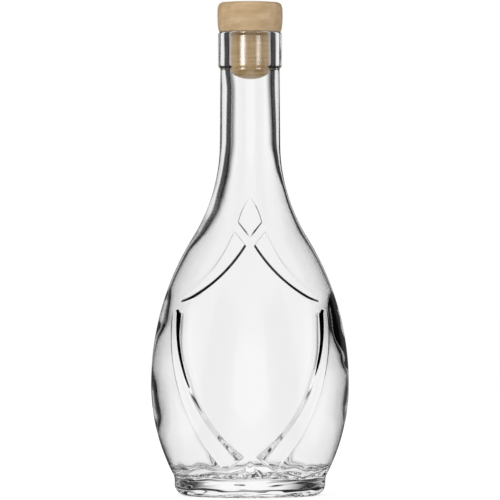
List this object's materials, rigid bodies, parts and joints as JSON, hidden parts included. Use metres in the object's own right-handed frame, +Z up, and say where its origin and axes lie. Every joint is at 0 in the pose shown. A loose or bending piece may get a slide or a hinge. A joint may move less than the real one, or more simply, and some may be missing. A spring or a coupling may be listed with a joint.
{
  "type": "decorative glass bottle",
  "caption": "Round clear glass bottle with a slender neck, raised ribbon ornament round an almond-shaped front panel, and a T-shaped stopper resting in its mouth.",
  "frame": {"origin": "on the table, under the bottle's axis", "axes": "+Z up along the bottle's axis; the decorated front faces -Y"},
  "size_m": [0.0896, 0.0896, 0.224],
  "materials": {
    "clear_glass": "fire-polished clear glass",
    "pale_wood": "turned, sanded and matt",
    "beige_plug": "smooth moulded synthetic cork"
  },
  "bodies": {
    "root": {"bottle": "clear_glass", "stopper_head": "pale_wood", "stopper_shank": "beige_plug"}
  },
  "joints": []
}
